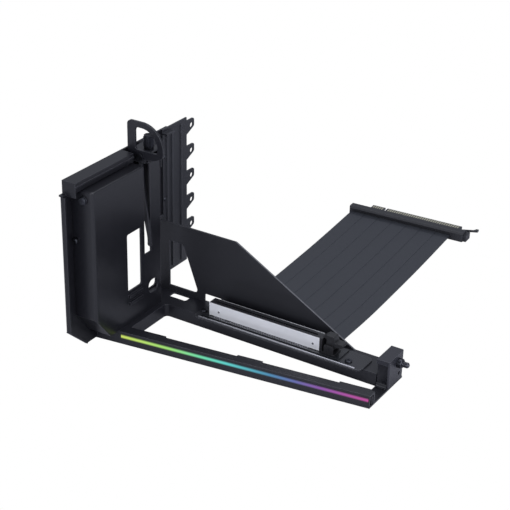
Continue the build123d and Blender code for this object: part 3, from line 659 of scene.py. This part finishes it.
end_low, end_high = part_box("end_bracket")
plate_top = end_low.z
wall_y = end_low.y + CURVE_LAP
profile = []
for n in range(CURVE_STEPS + 1):
    angle = math.pi / 2 * n / CURVE_STEPS
    profile.append(
        (wall_y - CURVE_RADIUS * (1 - math.sin(angle)), plate_top + CURVE_RADIUS * (1 - math.cos(angle)))
    )
profile.append((wall_y, end_high.z - LIP_HEIGHT))
shape = bmesh.new()
line = [shape.verts.new((end_low.x + CURVE_LAP / 2, y, z + SHEET)) for y, z in profile]
edges = [shape.edges.new(pair) for pair in zip(line, line[1:])]
made = bmesh.ops.extrude_edge_only(shape, edges=edges)["geom"]
moved = [part for part in made if isinstance(part, bmesh.types.BMVert)]
bmesh.ops.translate(shape, verts=moved, vec=(end_high.x - end_low.x - 2 * CURVE_LAP, 0, 0))
bmesh.ops.solidify(shape, geom=shape.faces[:], thickness=SHEET)
curve = wear(finished("end_curve", shape), steel_black)
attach(curve, "frame")

# %% Cap in the rail's open end
CAP_THICK = 0.0004
CAP_INSET = 0.0006
CAP_SIDE = 0.00125
CAP_DEPTH = 0.0045

rail_low = lens_high.y + CAP_SIDE
cap_size = Vector((CAP_THICK, CAP_DEPTH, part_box("riser_tray")[0].z - plate_top - 2 * CAP_SIDE))
cap_place = Vector((end_high.x - CAP_INSET, rail_low + CAP_DEPTH / 2, plate_top + cap_size.z / 2))
shape = bmesh.new()
cap_matrix = Matrix.Translation(cap_place) @ Matrix.Diagonal((*cap_size, 1.0))
bmesh.ops.create_cube(shape, size=1.0, matrix=cap_matrix)
cap = wear(finished("rail_end_cap", shape), steel_black)
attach(cap, "frame")
print("cap", [round(v * 1000, 2) for v in (*(cap_place - cap_size / 2), *(cap_place + cap_size / 2))])

# %% [markdown]
# ## Riser cable
# The cable is seven flat bands side by side, each a row of thin wires in a satin sleeve. It
# leaves the header under the board, lies on the table and ends in the edge connector. Each
# band follows one smooth spline that the route's points steer. Its section is a flat oval,
# swept as a ring of vertices at each point read from the spline, and the wires show as a
# fine wave in the sleeve's bump.

# %% Route of the bands
BANDS = 7
BAND_PITCH = 0.0131
BAND_THICK = 0.0010
BAND_GAP = 0.00002
CABLE_TURN = math.radians(2.8)
CABLE_START = Vector((0.1098, 0.0964, 0.0))
SPLINE_ORDER = 3
SPLINE_STEPS = 12
# The first points of each band are shifted along it, so that all bands start at one Y.
HELD_POINTS = 2
# Each point is the run from the start and the height of the band's middle.
BAND_ROUTE = (
    (0.00035, 0.0042),
    (0.02635, 0.0033),
    (0.062, 0.00095),
    (0.110, 0.0008),
    (0.168, 0.00125),
    (0.22227, 0.0036),
)
across = Vector((math.cos(CABLE_TURN), math.sin(CABLE_TURN), 0))
forth = Vector((-math.sin(CABLE_TURN), math.cos(CABLE_TURN), 0))


def band_spline(number):
    """The points that one band follows, read from a smooth spline."""
    offset = (number - (BANDS - 1) / 2) * BAND_PITCH
    shift = -offset * math.tan(CABLE_TURN)
    curve = bpy.data.curves.new("band_line", "CURVE")
    curve.dimensions = "3D"
    spline = curve.splines.new("NURBS")
    spline.points.add(len(BAND_ROUTE) - 1)
    for n, (run, height) in enumerate(BAND_ROUTE):
        run += shift if n < HELD_POINTS else 0
        at = CABLE_START + across * offset + forth * run + Vector((0, 0, height))
        spline.points[n].co = (*at, 1.0)
    spline.order_u = SPLINE_ORDER
    spline.use_endpoint_u = True
    spline.resolution_u = SPLINE_STEPS
    line = bpy.data.objects.new("band_line", curve)
    mesh = bpy.data.meshes.new_from_object(line)
    points = [v.co.copy() for v in mesh.vertices]
    bpy.data.objects.remove(line)
    return points


band_lines = [band_spline(n) for n in range(BANDS)]
middle_line = band_lines[BANDS // 2]
band_length = sum((b - a).length for a, b in zip(middle_line, middle_line[1:]))
print("band length", round(band_length, 4), "m")

# %% Satin sleeve
WIRE_SCALE = 190.0
DUST_SCALE = 60
WEAVE_SCALE = 2600
SLEEVE_HEIGHT = 0.00003

sleeve = Finish("ribbon_sleeve")
place = sleeve.place()
turned = sleeve.node("ShaderNodeMapping", {}, {"Vector": place, "Rotation": (0, 0, -CABLE_TURN)})
weave = sleeve.node(
    "ShaderNodeTexWave",
    {"wave_type": "BANDS", "bands_direction": "X", "wave_profile": "SIN"},
    {"Vector": turned, "Scale": WIRE_SCALE, "Distortion": 0.4, "Detail": 1.0},
)
dust = sleeve.noise(place, DUST_SCALE, 4.0)
fine = sleeve.noise(place, WEAVE_SCALE, 2.0)
sleeve.shade(
    Base_Color=sleeve.blend(dust, (0.0188, 0.0212, 0.0275), (0.0240, 0.0268, 0.0340)),
    Roughness=sleeve.between(dust, 0.44, 0.56),
    Normal=sleeve.bump(weave * 0.6 + fine * 0.4, SLEEVE_HEIGHT),
)
print("sleeve finish made")

# %% Section of a band, and the sweep
SECTION_STEPS = 20
SIDE_POWER = 0.35
RISE_POWER = 0.5


def band_section():
    """A flat oval with square shoulders, as (across, up) pairs round the band."""
    points = []
    for n in range(SECTION_STEPS * 2):
        angle = 2 * math.pi * n / (SECTION_STEPS * 2)
        c, s = math.cos(angle), math.sin(angle)
        side = math.copysign(abs(c) ** SIDE_POWER, c) * (BAND_PITCH - BAND_GAP) / 2
        rise = math.copysign(abs(s) ** RISE_POWER, s) * BAND_THICK / 2
        points.append((side, rise))
    return points


def sweep_band(name, line):
    """The section carried along the line, square to it at each point."""
    outline = band_section()
    sections = []
    for n, at in enumerate(line):
        ahead = (line[min(n + 1, len(line) - 1)] - line[max(n - 1, 0)]).normalized()
        above = across.cross(ahead).normalized()
        sections.append([at + across * a + above * b for a, b in outline])
    return swept(name, sections, smooth=True)


for n, line in enumerate(band_lines):
    band = wear(sweep_band(f"ribbon_sleeve_{n + 1}", line), sleeve)
    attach(band, "frame")
    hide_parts(f"ribbon_band_{n + 1}")
print(BANDS, "bands swept")

# %% [markdown]
# ## Table, backdrop and light
# The bracket stands on a table that camera rays see as plain white, as in a cut-out picture.
# Other rays meet a pale grey, so the steel near the table doesn't glow. Three large soft lamps
# and a dim, slightly blue world give the coat its cool grey sheen.

# %% Table and backdrop
TABLE_SIZE = 6.0
TABLE_PLACE = (0.1, 0.15, -0.0002)
TABLE_GREY = (0.55, 0.55, 0.58)


def studio_white(name):
    """White to the camera, and a matt grey to every other ray."""
    finish = Finish(name)
    tree = finish.tree
    finish.shade(Base_Color=TABLE_GREY, Roughness=0.9, Specular_IOR_Level=0.1)
    paths = tree.nodes.new("ShaderNodeLightPath")
    glow = tree.nodes.new("ShaderNodeEmission")
    glow.inputs["Color"].default_value = (1, 1, 1, 1)
    mix = tree.nodes.new("ShaderNodeMixShader")
    tree.links.new(paths.outputs["Is Camera Ray"], mix.inputs[0])
    tree.links.new(finish.shader.outputs[0], mix.inputs[1])
    tree.links.new(glow.outputs[0], mix.inputs[2])
    tree.links.new(mix.outputs[0], finish.output.inputs["Surface"])
    return finish


shape = bmesh.new()
bmesh.ops.create_grid(shape, x_segments=1, y_segments=1, size=TABLE_SIZE / 2)
table = wear(finished("table", shape), studio_white("table_white"))
table.location = TABLE_PLACE

# %% World and lamps
SKY_COLOUR = (0.84, 0.88, 1.0, 1)
SKY_STRENGTH = 0.42

world = bpy.data.worlds.new("studio_world")
world.use_nodes = True
world_tree = world.node_tree
sky = world_tree.nodes["Background"]
sky.inputs["Color"].default_value = SKY_COLOUR
sky.inputs["Strength"].default_value = SKY_STRENGTH
seen = world_tree.nodes.new("ShaderNodeBackground")
seen.inputs["Strength"].default_value = 1.0
paths = world_tree.nodes.new("ShaderNodeLightPath")
mix = world_tree.nodes.new("ShaderNodeMixShader")
world_tree.links.new(paths.outputs["Is Camera Ray"], mix.inputs[0])
world_tree.links.new(sky.outputs[0], mix.inputs[1])
world_tree.links.new(seen.outputs[0], mix.inputs[2])
world_tree.links.new(mix.outputs[0], world_tree.nodes["World Output"].inputs["Surface"])
bpy.context.scene.world = world

CENTRE = Vector((0.1, 0.12, 0.05))
COOL = (0.90, 0.92, 1.0)
# Each lamp's name, place, width and height, and power in watts.
SOFTBOXES = (
    ("softbox_top", (0.1, 0.35, 1.3), (1.2, 1.2), 9),
    ("softbox_right", (0.95, -0.2, 0.5), (0.8, 0.8), 5.5),
    ("softbox_front", (0.1, -1.0, 0.25), (1.0, 0.5), 5.5),
)


def softbox(name, at, size, power):
    """A large cool lamp that faces the middle of the bracket."""
    data = bpy.data.lights.new(name, "AREA")
    data.shape = "RECTANGLE"
    data.size, data.size_y = size
    data.energy = power
    data.color = COOL
    lamp = bpy.data.objects.new(name, data)
    lamp.location = at
    lamp.rotation_mode = "QUATERNION"
    lamp.rotation_quaternion = (CENTRE - Vector(at)).to_track_quat("-Z", "Y")
    bpy.context.scene.collection.objects.link(lamp)


for box in SOFTBOXES:
    softbox(*box)
bpy.context.scene.view_settings.view_transform = "Standard"
print("lamps placed")
